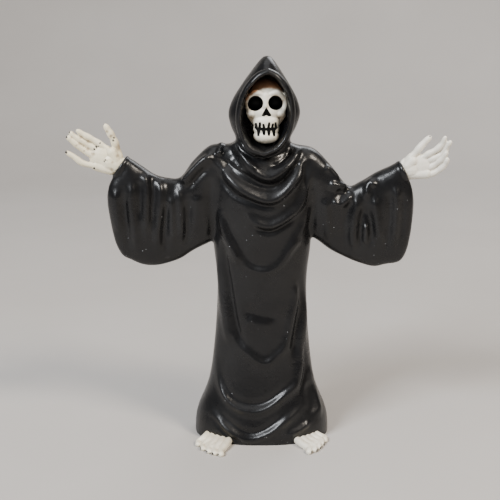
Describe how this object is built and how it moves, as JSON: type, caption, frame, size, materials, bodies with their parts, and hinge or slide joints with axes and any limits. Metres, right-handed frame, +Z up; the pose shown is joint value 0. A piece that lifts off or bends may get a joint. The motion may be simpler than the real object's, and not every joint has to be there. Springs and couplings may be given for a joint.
{
  "type": "grim reaper figurine",
  "caption": "Hooded robed skeleton figurine, arms held out, moulded in one piece and standing on its flat hem.",
  "frame": {"origin": "middle of the robe's flat underside, on the surface it stands on", "axes": "+Z up, the figure faces -Y, its left hand in the picture's view is on -X"},
  "size_m": [0.1468, 0.0437, 0.1503],
  "materials": {
    "black_vinyl": "glossy black vinyl, lightly scuffed; skull, hands and feet are painted bone white"
  },
  "bodies": {
    "root": {"grim_reaper_figurine": "black_vinyl"}
  },
  "joints": []
}
